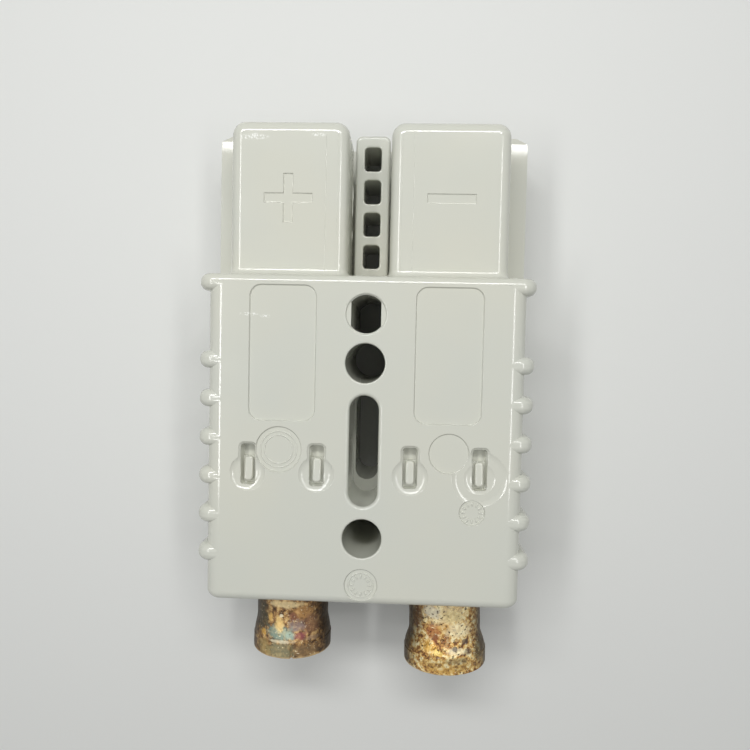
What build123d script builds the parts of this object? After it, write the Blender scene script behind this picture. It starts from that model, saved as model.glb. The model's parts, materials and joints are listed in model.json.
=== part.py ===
from build123d import *
import os
from math import atan, degrees, radians, sin, tan

# Two-pole genderless power connector: a moulded housing, two crimp contacts and two leaf springs.
# Two of these connectors mate with each other, one of them turned over about its X axis.
#
# Frame, in millimetres: the origin lies midway between the two screw holes, in the plane of the
# underside. +X runs across to the negative pole, +Y runs to the mating end, +Z runs up to the label face.

# Body of the housing
HEIGHT = 25.5            # underside to label face
BODY_LENGTH = 54.5       # rear face to the front face of the collar
BODY_EDGE = 2.6          # rounding of the four long edges
REAR_EDGE = 1.6          # rounding of the rear outline

# Grip ribs on both sides, and the collar that ends the body
RIB_SPAN = 55.5          # across the crests of opposite ribs, the connector's full width
RIB_STAND = 1.55         # how far a rib stands out from the plain sides
RIB_WIDTH = 2.9
RIB_COUNT = 6
RIB_FRONT_MARGIN = 14.2  # collar face to the middle of the nearest rib
RIB_REAR_MARGIN = 7.95   # rear face to the middle of the nearest rib
RIB_ROUND = 1.3          # rounding on each side of a crest
RIB_CREST = 0.2          # flat that is always left between the two roundings
RIB_END_ROUND = 2.4      # rounding of the upper and lower ends
COLLAR_DEPTH = 2.85

# Mating end: two hooded tongues above, a receptacle skirt with a divider below
MATING_LENGTH = 25.7     # collar face to the tips of the tongues
COLLAR_STEP = 0.3        # sides of the collar to the sides of the skirt
SKIRT_WALL = 3.75
SKIRT_FLOOR = 2.6
SKIRT_CORNER = 1.9       # front corners cut off obliquely, across
SKIRT_CORNER_BACK = 1.2  # and along
SKIRT_CORNER_ROUND = 0.5
SKIRT_EDGE = 1.2         # rounding of the lower outline
SKIRT_LEAD = 1.2         # slope at the tip of the side walls, along
SKIRT_LEAD_DROP = 0.8
SKIRT_FALL = 3.6         # slight fall of the side walls behind that slope, along
SKIRT_FALL_DROP = 0.24
CAVITY_ROUND = 1.4       # rounding along the foot of the skirt walls
DIVIDER_WIDTH = 6.2
DIVIDER_CORNER = 1.2
DIVIDER_EDGE = 0.5
MATE_CLEARANCE = 0.4     # a mate's tongue to the skirt, floor and divider round it
SPLIT_GAP = 0.15         # tongues and skirt each stop this far from the mating plane
TONGUE_DROP = 3.0        # label face down to the top of a tongue
TONGUE_CORNER = 2.3      # plan rounding at the tip
TONGUE_EDGE = 1.9        # rounding of the top outline
TONGUE_ROOT = 1.2        # fillet where a tongue leaves the collar
TONGUE_WALL = 2.2
TONGUE_ROOF = 2.4
TONGUE_NOSE = 2.6        # wall in front of the blade
ROOF_ROUND = 0.9         # rounding inside a tongue, under its roof

# Coring holes down through the divider
CORE_COUNT = 4
CORE_WIDTH = 3.0
CORE_WEB = 1.6           # wall between two holes
CORE_FRONT_MARGIN = 3.75  # tips of the tongues to the middle of the first hole
CORE_REAR_MARGIN = 4.55  # collar face to the middle of the last hole
CORE_ROUND = 0.7
CORE_RIM = 0.3           # rounding of the upper rims

# Holes through the body on its centre line
SCREW_HOLE = 6.5
HOLE_RIM = 0.3           # rounding of the round rims at the label face
SCREW_FRONT_MARGIN = 14.3  # collar face to the middle of the front screw hole
SCREW_REAR_MARGIN = 11.2  # rear face to the middle of the rear screw hole
KEY_HOLE = 6.3
KEY_HOLE_MARGIN = 6.3    # collar face to the middle of the two-flat hole
KEY_FLATS = 4.9
KEY_RIM_STEP = 0.1       # shallow rim, larger all round than the hole
KEY_RIM_DEPTH = 0.35
SLOT_WIDTH = 4.8
SLOT_WALL = 2.05         # between the slot and each screw hole
SLOT_RIM = 0.6           # rounding of the rim at the label face
SLOT_LEDGE = 0.35        # narrowing at the mid-plane, at the sides and front
SLOT_REAR_LEDGE = 2.1    # the same step at the rear end

# Shallow recesses in the label face
RECESS_DEPTH = 0.3
RECESS_DRAFT = 30.0      # slope of the walls off the vertical, in degrees
PANEL_WIDTH = 11.1
PANEL_FRONT_MARGIN = 1.7  # collar face to the front edge of a panel
PANEL_REAR = 4.7         # rear edge of a panel, forward of the origin
PANEL_CORNER = 2.0
PANEL_OUTWARD = 0.2      # middle of a panel, outward of its pole
DISC_LARGE = 7.7
DISC_MEDIUM = 6.7
DISC_OUTWARD = 0.6       # large and medium disc, outward of their poles
DISC_SMALL = 4.3
DISC_SMALL_OUTWARD = 4.6
DISC_SMALL_BACK = 9.6
DISC_REAR = 5.6
DISC_REAR_MARGIN = 3.4   # rear face to the middle of the rear disc

# Staking pockets, a pair over each pole
POCKET_WIDTH = 2.6
POCKET_LENGTH = 7.0
POCKET_CORNER = 0.7
POCKET_DRAFT = 10.0      # slope of the walls off the vertical, in degrees
POCKET_RIM = 0.3         # bevel round the rim
POCKET_RIM_SLOPE = 45.0  # and its slope, in degrees
POCKET_BACK = 2.6        # middle of a pocket, behind the origin
POCKET_DEPTH = 1.7
POCKET_WELL = 2.0        # length of the deeper front end
POCKET_WELL_STEP = 0.7   # how much deeper the well is
FINGER_WIDTH = 1.5
FINGER_HEIGHT_REAR = 1.2
FINGER_HEIGHT_FRONT = 0.6
FINGER_GAP = 0.65        # rear end of a finger to the rear of its pocket
FINGER_END_FLAT = 0.3    # flat that is left between the plan roundings of each end
FINGER_ROUND = 0.4       # rounding of its top outline
DISH_RADIUS = 2.95       # sunk skin round each pocket
DISH_DEPTH = 0.55
DISH_BACK = 4.0
SINK_RADIUS = 4.5        # wider sunk patch round the outer negative pocket
SINK_DEPTH = 0.3

# Cable entries and the passages that the blades lie in
BORE_WALL = 1.75         # between a cable bore and the screw holes
BORE_ROOF = 2.7          # thinnest wall over a cable bore that has room for the roundings there
CABLE_BORE_ROUND = 1.0
PASSAGE_REACH = 8.0      # passage roof, behind the end of the cable bore

# Contacts
BLADE_PLAY = 0.95        # each side of a blade in its passage
BLADE_TIP_GAP = 1.4      # tip of a blade to the nose of its tongue
BLADE_THICKNESS = 3.6
BLADE_CORNER = 1.5       # plan rounding at the tip
BLADE_LEAD = 1.2         # slope that leads a mate's blade under the tip
BLADE_EDGE = 0.8         # rounding of the section where the barrel flattens
THROAT_LENGTH = 9.0      # barrel flattening into the blade
THROAT_FLAT = 0.05       # width at which the blade's four flats start on the round barrel
BARREL_PLAY = 1.9        # all round a barrel in its cable bore
BARREL_WALL = 1.2
BARREL_BORE_DEPTH = 26.0
BARREL_FLOOR = 3.0       # solid metal between the bore and the throat
POSITIVE_MOUTH_STEP = 0.6  # bell mouth, all round beyond the barrel
NEGATIVE_MOUTH_STEP = 0.95  # this one has been opened further
MOUTH_WALL = 0.9
MOUTH_LIP = 2.6          # straight lip at the bell mouth
MOUTH_FLARE = 3.6        # length over which the barrel opens to the lip
POSITIVE_SHIFT = 0.3     # play taken up sideways by the positive contact
NEGATIVE_PULL = 1.7      # negative contact sits this far back in its passage
NEGATIVE_YAW = 1.5       # and is turned this far, in degrees, within its play
NEGATIVE_PIVOT = 25.0    # about a point on its pole this far forward of the origin

# Leaf springs
SPRING_THICKNESS = 0.6
SPRING_MARGIN = 0.45     # each side of a spring, short of the blade's edge
SPRING_FLAT = 17.0       # length that lies on the passage roof
SPRING_TOE_BACK = 11.2   # nose of the tongue back to where the toe bears on the blade
SPRING_TOE_RADIUS = 20.0
SPRING_TOE_TURN = 14.0   # upturn of the toe, in degrees
STAKE_WIDTH = 1.2
STAKE_LENGTH = 1.8
STAKE_HEAD = 0.45        # thickness of the staked head, and its overhang
STAKE_CLEARANCE = 0.15

# Places along the connector, worked out from the sizes
SCREW_SPACING = BODY_LENGTH - SCREW_FRONT_MARGIN - SCREW_REAR_MARGIN
REAR = -SCREW_SPACING / 2 - SCREW_REAR_MARGIN
COLLAR_FACE = REAR + BODY_LENGTH
TIP = COLLAR_FACE + MATING_LENGTH
SKIRT_TIP = TIP + MATE_CLEARANCE  # the skirt meets a mate's collar before the tongues do
PASSAGE_FRONT = TIP - TONGUE_NOSE
RIB_PITCH = (BODY_LENGTH - RIB_FRONT_MARGIN - RIB_REAR_MARGIN) / (RIB_COUNT - 1)
CORE_PITCH = (MATING_LENGTH - CORE_FRONT_MARGIN - CORE_REAR_MARGIN) / (CORE_COUNT - 1)
CORE_LENGTH = CORE_PITCH - CORE_WEB
KEY_HOLE_FORWARD = COLLAR_FACE - KEY_HOLE_MARGIN
SLOT_LENGTH = SCREW_SPACING - SCREW_HOLE - 2 * SLOT_WALL
PANEL_LENGTH = COLLAR_FACE - PANEL_FRONT_MARGIN - PANEL_REAR
STAKE_BACK = POCKET_BACK

# Places across it and in height
BODY_WIDTH = RIB_SPAN - 2 * RIB_STAND
SKIRT_WIDTH = RIB_SPAN - 2 * COLLAR_STEP
SKIRT_INNER = SKIRT_WIDTH / 2 - SKIRT_WALL
DIVIDER_HALF = DIVIDER_WIDTH / 2
POLE = (SKIRT_INNER + DIVIDER_HALF) / 2
TONGUE_WIDTH = SKIRT_INNER - DIVIDER_HALF - 2 * MATE_CLEARANCE
PASSAGE_HALF = TONGUE_WIDTH / 2 - TONGUE_WALL
MID = HEIGHT / 2
CABLE_BORE = 2 * min(POLE - SCREW_HOLE / 2 - BORE_WALL, MID - BORE_ROOF)
TONGUE_TOP = HEIGHT - TONGUE_DROP
PASSAGE_ROOF = TONGUE_TOP - TONGUE_ROOF

# Sizes of the metal pieces that follow from the housing
BLADE_WIDTH = 2 * (PASSAGE_HALF - BLADE_PLAY)
BLADE_LENGTH = PASSAGE_FRONT - BLADE_TIP_GAP
BARREL_OUTER = CABLE_BORE - 2 * BARREL_PLAY
BARREL_INNER = BARREL_OUTER - 2 * BARREL_WALL
BARREL_LENGTH = BARREL_BORE_DEPTH + BARREL_FLOOR
SPRING_WIDTH = BLADE_WIDTH - 2 * SPRING_MARGIN
STAKE_SPACING = SPRING_WIDTH - STAKE_WIDTH

OVERRUN = 1.0            # cutters run past the faces that they open
NEAR = 0.001             # how close an edge has to lie to a plane to count as in it


def block(x_range, y_range, z_range):
    """A box given by its limits along X, Y and Z."""
    spans = [high - low for low, high in (x_range, y_range, z_range)]
    middle = [(low + high) / 2 for low, high in (x_range, y_range, z_range)]
    return Pos(*middle) * Box(*spans)


def upright_slab(width, corner, front, depth):
    """A full-height slab across the connector with rounded long edges, from front back by depth."""
    outline = Pos(0, MID) * RectangleRounded(width, HEIGHT, corner)
    plane = Plane(origin=(0, front, 0), x_dir=(1, 0, 0), z_dir=(0, -1, 0))
    return extrude(plane * outline, depth)


def body():
    """The plain rear block, rounded at its rear outline."""
    slab = upright_slab(BODY_WIDTH, BODY_EDGE, COLLAR_FACE - COLLAR_DEPTH / 2, BODY_LENGTH - COLLAR_DEPTH / 2)
    return fillet(slab.faces().sort_by(Axis.Y)[0].edges(), REAR_EDGE)


def rib(front, depth):
    """A slab as wide as the ribs, which shows on both sides of the body and lies flush with its top."""
    slab = upright_slab(RIB_SPAN, RIB_END_ROUND, front, depth)
    faces = slab.faces().sort_by(Axis.Y)
    return fillet(faces[0].edges() + faces[-1].edges(), min(RIB_ROUND, (depth - RIB_CREST) / 2))


def tongue(pole):
    """One hooded tongue, still solid, with its tip rounded in plan and along its top outline."""
    half = TONGUE_WIDTH / 2
    hood = block((pole - half, pole + half), (COLLAR_FACE - OVERRUN, TIP), (MID + SPLIT_GAP, TONGUE_TOP))
    hood = fillet(hood.edges().filter_by(Axis.Z).group_by(Axis.Y)[-1], TONGUE_CORNER)
    top_outline = hood.faces().sort_by(Axis.Z)[-1].edges().sort_by(Axis.Y)[1:]
    return fillet(top_outline, TONGUE_EDGE)


def edges_in(shell, low, high):
    """The edges of a shape that lie wholly inside the box between two corners."""
    found = []
    for edge in shell.edges():
        span = edge.bounding_box()
        start = (span.min.X, span.min.Y, span.min.Z)
        end = (span.max.X, span.max.Y, span.max.Z)
        if all(a - NEAR < b for a, b in zip(low, start)) and all(a < b + NEAR for a, b in zip(end, high)):
            found.append(edge)
    return found


def round_tongue_roots(shell):
    """Fillet the corners where the tongues leave the collar, apart from those along their lower side."""
    reach = POLE + TONGUE_WIDTH / 2
    under = MID + SPLIT_GAP
    roots = edges_in(shell, (-reach, COLLAR_FACE, under), (reach, COLLAR_FACE, TONGUE_TOP))
    return fillet([edge for edge in roots if edge.center().Z > under + NEAR], TONGUE_ROOT)


def skirt():
    """The receptacle below the tongues: floor, side walls and the divider between the poles."""
    half = SKIRT_WIDTH / 2
    top = MID - SPLIT_GAP
    outline = Polyline(
        (-half, COLLAR_FACE - COLLAR_DEPTH / 2),
        (half, COLLAR_FACE - COLLAR_DEPTH / 2),
        (half, SKIRT_TIP - SKIRT_CORNER_BACK),
        (half - SKIRT_CORNER, SKIRT_TIP),
        (SKIRT_CORNER - half, SKIRT_TIP),
        (-half, SKIRT_TIP - SKIRT_CORNER_BACK),
        close=True,
    )
    shell = extrude(make_face(outline), top)
    shell = fillet(shell.edges().filter_by(Axis.Z).sort_by(Axis.Y)[2:], SKIRT_CORNER_ROUND)
    shell = fillet(shell.faces().sort_by(Axis.Z)[0].edges().sort_by(Axis.Y)[1:], SKIRT_EDGE)
    shell -= skirt_lead_in()
    divider = block((-DIVIDER_HALF, DIVIDER_HALF), (COLLAR_FACE - OVERRUN, SKIRT_TIP), (SKIRT_FLOOR / 2, top))
    divider = fillet(divider.edges().filter_by(Axis.Z).group_by(Axis.Y)[-1], DIVIDER_CORNER)
    divider = fillet(divider.faces().sort_by(Axis.Z)[-1].edges().sort_by(Axis.Y)[1:], DIVIDER_EDGE)
    return (shell - mating_cavity()) + divider


def skirt_lead_in():
    """A cutter for the top of the skirt's walls: a slight fall towards the tip, then a steeper slope."""
    top = MID - SPLIT_GAP
    slope = SKIRT_TIP - SKIRT_LEAD
    lowest = top - SKIRT_FALL_DROP - SKIRT_LEAD_DROP
    profile = Polyline(
        (slope - SKIRT_FALL, top),
        (slope, top - SKIRT_FALL_DROP),
        (SKIRT_TIP, lowest),
        (SKIRT_TIP + OVERRUN, lowest),
        (SKIRT_TIP + OVERRUN, top + OVERRUN),
        (slope - SKIRT_FALL, top + OVERRUN),
        close=True,
    )
    side = Plane(origin=(-SKIRT_WIDTH / 2 - OVERRUN, 0, 0), x_dir=(0, 1, 0), z_dir=(1, 0, 0))
    return extrude(side * make_face(profile), SKIRT_WIDTH + 2 * OVERRUN)


def divider_cores():
    """The row of rounded rectangular holes down through the divider and the floor below it."""
    core = extrude(RectangleRounded(CORE_WIDTH, CORE_LENGTH, CORE_ROUND), MID + OVERRUN)
    middles = [TIP - CORE_FRONT_MARGIN - index * CORE_PITCH for index in range(CORE_COUNT)]
    return [Pos(0, middle, -OVERRUN) * core for middle in middles]


def mating_cavity():
    """The space for a mate's two tongues, cut a little way into the collar as well."""
    space = block(
        (-SKIRT_INNER, SKIRT_INNER), (COLLAR_FACE - MATE_CLEARANCE, SKIRT_TIP + OVERRUN), (SKIRT_FLOOR, MID)
    )
    foot = space.edges().filter_by(Axis.Y).group_by(Axis.Z)[0]
    return fillet(foot, CAVITY_ROUND)


def contact_passage(pole):
    """The passage of one pole, from the cable bore to the nose of its tongue."""
    space = block(
        (pole - PASSAGE_HALF, pole + PASSAGE_HALF), (-PASSAGE_REACH, PASSAGE_FRONT), (MID, PASSAGE_ROOF)
    )
    return fillet(space.edges().filter_by(Axis.Y).group_by(Axis.Z)[-1], ROOF_ROUND)


def cable_bore(pole):
    """The round cable entry of one pole, which ends at the blade's seat."""
    plane = Plane(origin=(pole, 0, MID), x_dir=(1, 0, 0), z_dir=(0, -1, 0))
    return extrude(plane * Circle(CABLE_BORE / 2), OVERRUN - REAR)


def open_cable_bores(shell):
    """Cut both cable entries and round their mouths."""
    for pole in (-POLE, POLE):
        shell -= cable_bore(pole)
    reach = POLE + CABLE_BORE / 2
    mouths = edges_in(shell, (-reach, REAR, MID - CABLE_BORE / 2), (reach, REAR, MID + CABLE_BORE / 2))
    return fillet(mouths, CABLE_BORE_ROUND)


def stakes(pole):
    """Two posts with heads, moulded under the passage roof, which hold the tail of the leaf spring."""
    posts = []
    for side in (-1, 1):
        x = pole + side * STAKE_SPACING / 2
        z = PASSAGE_ROOF - SPRING_THICKNESS - STAKE_CLEARANCE
        half_width = STAKE_WIDTH / 2
        half_length = STAKE_LENGTH / 2
        post = block(
            (x - half_width, x + half_width),
            (-STAKE_BACK - half_length, -STAKE_BACK + half_length),
            (z, PASSAGE_ROOF + OVERRUN),
        )
        head = block(
            (x - half_width - STAKE_HEAD, x + half_width + STAKE_HEAD),
            (-STAKE_BACK - half_length - STAKE_HEAD, -STAKE_BACK + half_length + STAKE_HEAD),
            (z - STAKE_HEAD, z),
        )
        posts.append(post + head)
    return posts


def round_rims(shell):
    """Round the rims of the divider's cores, and of the round holes at the label face."""
    top = MID - SPLIT_GAP
    cores = edges_in(shell, (-CORE_WIDTH / 2, COLLAR_FACE, top), (CORE_WIDTH / 2, TIP, top))
    shell = fillet(cores, CORE_RIM)
    reach = max(SCREW_HOLE, KEY_HOLE + 2 * KEY_RIM_STEP) / 2
    rims = []
    for y in (-SCREW_SPACING / 2, SCREW_SPACING / 2, KEY_HOLE_FORWARD):
        rims += edges_in(shell, (-reach, y - reach, HEIGHT), (reach, y + reach, HEIGHT))
    return fillet(rims, HOLE_RIM)


def screw_hole(y):
    """A plain through hole for a mounting screw."""
    return Pos(0, y, -OVERRUN) * extrude(Circle(SCREW_HOLE / 2), HEIGHT + 2 * OVERRUN)


def key_hole():
    """A through hole with two flats in a shallow round rim."""
    section = Circle(KEY_HOLE / 2) & Rectangle(KEY_FLATS, KEY_HOLE)
    through = Pos(0, KEY_HOLE_FORWARD, -OVERRUN) * extrude(section, HEIGHT + 2 * OVERRUN)
    rim = extrude(Circle(KEY_HOLE / 2 + KEY_RIM_STEP), KEY_RIM_DEPTH + OVERRUN)
    return through + Pos(0, KEY_HOLE_FORWARD, HEIGHT - KEY_RIM_DEPTH) * rim


def slot_void():
    """The long slot: wide from the label face to the mid-plane, narrower and shorter below."""
    upper = Pos(0, 0, MID) * extrude(slot_outline(SLOT_LENGTH, SLOT_WIDTH), MID + OVERRUN)
    lower_length = SLOT_LENGTH - SLOT_LEDGE - SLOT_REAR_LEDGE
    lower_shift = (SLOT_REAR_LEDGE - SLOT_LEDGE) / 2
    outline = slot_outline(lower_length, SLOT_WIDTH - 2 * SLOT_LEDGE)
    lower = Pos(0, lower_shift, -OVERRUN) * extrude(outline, MID + 2 * OVERRUN)
    return upper + lower


def open_slot(shell):
    """Cut the slot and round its rim at the label face."""
    shell -= slot_void()
    corner = (SLOT_WIDTH / 2, SLOT_LENGTH / 2)
    rim = edges_in(shell, (-corner[0], -corner[1], HEIGHT), (*corner, HEIGHT))
    return fillet(rim, SLOT_RIM)


def slot_outline(length, width):
    """A slot with round ends that runs along Y, given by its overall length."""
    return Rot(0, 0, 90) * SlotOverall(length, width)


def label_recesses():
    """Shallow recesses in the label face: two panels and four discs."""
    shapes = []
    for side in (-1, 1):
        panel = RectangleRounded(PANEL_WIDTH, PANEL_LENGTH, PANEL_CORNER)
        shapes.append(Pos(side * (POLE + PANEL_OUTWARD), PANEL_REAR + PANEL_LENGTH / 2) * panel)
    shapes.append(Pos(-POLE - DISC_OUTWARD, 0) * Circle(DISC_LARGE / 2))
    shapes.append(Pos(POLE + DISC_OUTWARD, 0) * Circle(DISC_MEDIUM / 2))
    shapes.append(Pos(POLE + DISC_SMALL_OUTWARD, -DISC_SMALL_BACK) * Circle(DISC_SMALL / 2))
    shapes.append(Pos(0, REAR + DISC_REAR_MARGIN) * Circle(DISC_REAR / 2))
    return [sunk(Pos(0, 0, HEIGHT) * shape, RECESS_DEPTH, RECESS_DRAFT) for shape in shapes]


def sunk(outline, depth, draft):
    """A cutter for a recess whose walls slope in from an outline in the label face."""
    return extrude(outline, depth, dir=(0, 0, -1), taper=draft) + extrude(outline, OVERRUN)


def dish(x, y, radius, depth):
    """A round sunk patch in the label face, cut by a ball."""
    ball = (radius**2 + depth**2) / (2 * depth)
    return Pos(x, y, HEIGHT + ball - depth) * Sphere(ball)


def staking_pocket(x):
    """A pocket with a deeper front end, and in it a sloping finger that rises towards the rear."""
    place = Pos(x, -POCKET_BACK, HEIGHT)
    floor = HEIGHT - POCKET_DEPTH
    inset = POCKET_DEPTH * tan(radians(POCKET_DRAFT))
    front = -POCKET_BACK + POCKET_LENGTH / 2 - inset
    rear = -POCKET_BACK - POCKET_LENGTH / 2 + FINGER_GAP
    half = POCKET_WIDTH / 2 - inset
    outline = RectangleRounded(POCKET_WIDTH, POCKET_LENGTH, POCKET_CORNER)
    pocket = sunk(place * outline, POCKET_DEPTH, POCKET_DRAFT)
    wide_outline = RectangleRounded(
        POCKET_WIDTH + 2 * POCKET_RIM, POCKET_LENGTH + 2 * POCKET_RIM, POCKET_CORNER + POCKET_RIM
    )
    pocket += sunk(place * wide_outline, POCKET_RIM, POCKET_RIM_SLOPE)
    well = block((x - half, x + half), (front - POCKET_WELL, front), (floor - POCKET_WELL_STEP, floor))
    profile = Polyline(
        (rear, floor - OVERRUN),
        (front - POCKET_WELL, floor - OVERRUN),
        (front - POCKET_WELL, floor + FINGER_HEIGHT_FRONT),
        (rear, floor + FINGER_HEIGHT_REAR),
        close=True,
    )
    side = Plane(origin=(x - FINGER_WIDTH / 2, 0, 0), x_dir=(0, 1, 0), z_dir=(1, 0, 0))
    finger = extrude(side * make_face(profile), FINGER_WIDTH)
    finger = fillet(finger.edges().filter_by(Axis.Z), (FINGER_WIDTH - FINGER_END_FLAT) / 2)
    finger = fillet(finger.faces().sort_by(Axis.Z)[-1].edges(), FINGER_ROUND)
    return (pocket + well) - finger


def housing():
    """The moulded housing, in one piece."""
    shell = body() + rib(COLLAR_FACE, COLLAR_DEPTH)
    for index in range(RIB_COUNT):
        middle = COLLAR_FACE - RIB_FRONT_MARGIN - index * RIB_PITCH
        shell += rib(middle + RIB_WIDTH / 2, RIB_WIDTH)
    for pole in (-POLE, POLE):
        shell += tongue(pole)
    shell = open_slot(open_cable_bores(round_tongue_roots(shell)))
    shell = (shell - mating_cavity()) + skirt()

    screw_holes = [screw_hole(side * SCREW_SPACING / 2) for side in (-1, 1)]
    for hole in divider_cores() + screw_holes + [key_hole()]:
        shell -= hole
    shell = round_rims(shell)

    stake_sides = [pole + side * STAKE_SPACING / 2 for pole in (-POLE, POLE) for side in (-1, 1)]
    voids = label_recesses() + [contact_passage(pole) for pole in (-POLE, POLE)]
    for x in stake_sides:
        voids += [staking_pocket(x), dish(x, -DISH_BACK, DISH_RADIUS, DISH_DEPTH)]
    voids.append(dish(stake_sides[-1], -DISH_BACK, SINK_RADIUS, SINK_DEPTH))
    for void in voids:
        shell -= void
    for pole in (-POLE, POLE):
        for stake in stakes(pole):
            shell += stake
    return shell


def crimp_barrel(mouth_step):
    """The tubular end, turned about its own axis: bell mouth at y = 0, solid end at BARREL_LENGTH."""
    outer = BARREL_OUTER / 2
    inner = BARREL_INNER / 2
    mouth = outer + mouth_step
    throat = MOUTH_LIP + MOUTH_FLARE
    along = (0, 1)
    flare_out = Spline((mouth, MOUTH_LIP), (outer, throat), tangents=[along, along])
    flare_in = Spline((inner, throat), (mouth - MOUTH_WALL, MOUTH_LIP), tangents=[(0, -1), (0, -1)])
    outline = [
        Line((mouth, 0), (mouth, MOUTH_LIP)),
        flare_out,
        Line((outer, throat), (outer, BARREL_LENGTH)),
        Line((outer, BARREL_LENGTH), (0, BARREL_LENGTH)),
        Line((0, BARREL_LENGTH), (0, BARREL_BORE_DEPTH)),
        Line((0, BARREL_BORE_DEPTH), (inner, BARREL_BORE_DEPTH)),
        Line((inner, BARREL_BORE_DEPTH), (inner, throat)),
        flare_in,
        Line((mouth - MOUTH_WALL, MOUTH_LIP), (mouth - MOUTH_WALL, 0)),
        Line((mouth - MOUTH_WALL, 0), (mouth, 0)),
    ]
    return revolve(make_face(outline), Axis.Y)


def blade(start):
    """The flat contact blade, whose lower face lies in the plane of the barrel axis."""
    half = BLADE_WIDTH / 2
    bar = block((-half, half), (start, start + BLADE_LENGTH), (0, BLADE_THICKNESS))
    bar = fillet(bar.edges().filter_by(Axis.Z).group_by(Axis.Y)[-1], BLADE_CORNER)
    tip = bar.faces().sort_by(Axis.Z)[0].edges().group_by(Axis.Y)[-1]
    return chamfer(tip, BLADE_LEAD)


def throat(start):
    """The barrel pressed flat: a loft from the round section to the section of the blade.

    The round section is drawn as a square that is rounded almost to a circle, so that it has a flat and
    a corner for each of the blade's own.
    """
    round_plane = Plane(origin=(0, start, 0), x_dir=(1, 0, 0), z_dir=(0, 1, 0))
    flat_plane = round_plane.offset(THROAT_LENGTH)
    near_round = RectangleRounded(BARREL_OUTER, BARREL_OUTER, (BARREL_OUTER - THROAT_FLAT) / 2)
    flat = Pos(0, -BLADE_THICKNESS / 2) * RectangleRounded(BLADE_WIDTH, BLADE_THICKNESS, BLADE_EDGE)
    return loft([round_plane * near_round, flat_plane * flat])


def contact(mouth_step):
    """One crimp contact, with its bell mouth at y = 0, its axis along +Y and the blade above the axis."""
    return crimp_barrel(mouth_step) + throat(BARREL_LENGTH) + blade(BARREL_LENGTH + THROAT_LENGTH)


def leaf_spring(pole):
    """One leaf spring: a staked flat tail under the roof, then a double bend down to the blade."""
    tail = -STAKE_BACK - STAKE_LENGTH - 2 * STAKE_HEAD
    level = PASSAGE_ROOF - SPRING_THICKNESS / 2
    drop = level - (MID + BLADE_THICKNESS + SPRING_THICKNESS / 2)
    reach = PASSAGE_FRONT - SPRING_TOE_BACK - (tail + SPRING_FLAT)
    bend = 2 * atan(drop / reach)
    first_radius = reach / sin(bend) - SPRING_TOE_RADIUS
    flat = Line((tail, level), (tail + SPRING_FLAT, level))
    down = JernArc(flat @ 1, (1, 0), first_radius, -degrees(bend))
    toe = JernArc(down @ 1, down % 1, SPRING_TOE_RADIUS, degrees(bend) + SPRING_TOE_TURN)
    section = trace(flat + down + toe, SPRING_THICKNESS)
    side = Plane(origin=(pole - SPRING_WIDTH / 2, 0, 0), x_dir=(0, 1, 0), z_dir=(1, 0, 0))
    leaf = extrude(side * section, SPRING_WIDTH)
    half_width = STAKE_WIDTH / 2 + STAKE_CLEARANCE
    half_length = STAKE_LENGTH / 2 + STAKE_CLEARANCE
    for edge in (-1, 1):
        x = pole + edge * STAKE_SPACING / 2
        outside = x + edge * STAKE_WIDTH
        leaf -= block(
            sorted((x - edge * half_width, outside)),
            (-STAKE_BACK - half_length, -STAKE_BACK + half_length),
            (PASSAGE_ROOF - 2 * SPRING_THICKNESS, PASSAGE_ROOF + OVERRUN),
        )
    return leaf


contact_length = BARREL_LENGTH + THROAT_LENGTH
positive_place = Pos(-POLE + POSITIVE_SHIFT, -contact_length, MID)
negative_turn = Pos(POLE, NEGATIVE_PIVOT, 0) * Rot(0, 0, NEGATIVE_YAW) * Pos(-POLE, -NEGATIVE_PIVOT, 0)
negative_place = negative_turn * Pos(POLE, -contact_length - NEGATIVE_PULL, MID)

nodes = {
    "housing": housing(),
    "contact_positive": positive_place * contact(POSITIVE_MOUTH_STEP),
    "contact_negative": negative_place * contact(NEGATIVE_MOUTH_STEP),
    "spring_positive": leaf_spring(-POLE),
    "spring_negative": leaf_spring(POLE),
}

os.makedirs("parts", exist_ok=True)
for name, solid in nodes.items():
    export_step(solid, os.path.join("parts", name + ".step"))
    box = solid.bounding_box()
    print(name, len(solid.solids()), round(solid.volume, 1), box.min, box.max)
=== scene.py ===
# %% [markdown]
# # A two-pole power connector, dressed for the camera
#
# The connector is a flat block of grey plastic, about 80 mm long, with two hooded tongues at one end and
# two worn metal crimp barrels at the other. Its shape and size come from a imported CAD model. This lesson
# gives each piece its finish: the plastic gets its moulded gloss and its plus and minus marks, and the
# metal its corrosion.

import json
import math

import bmesh
import bpy
from mathutils import Euler, Matrix, Vector, noise


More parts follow.
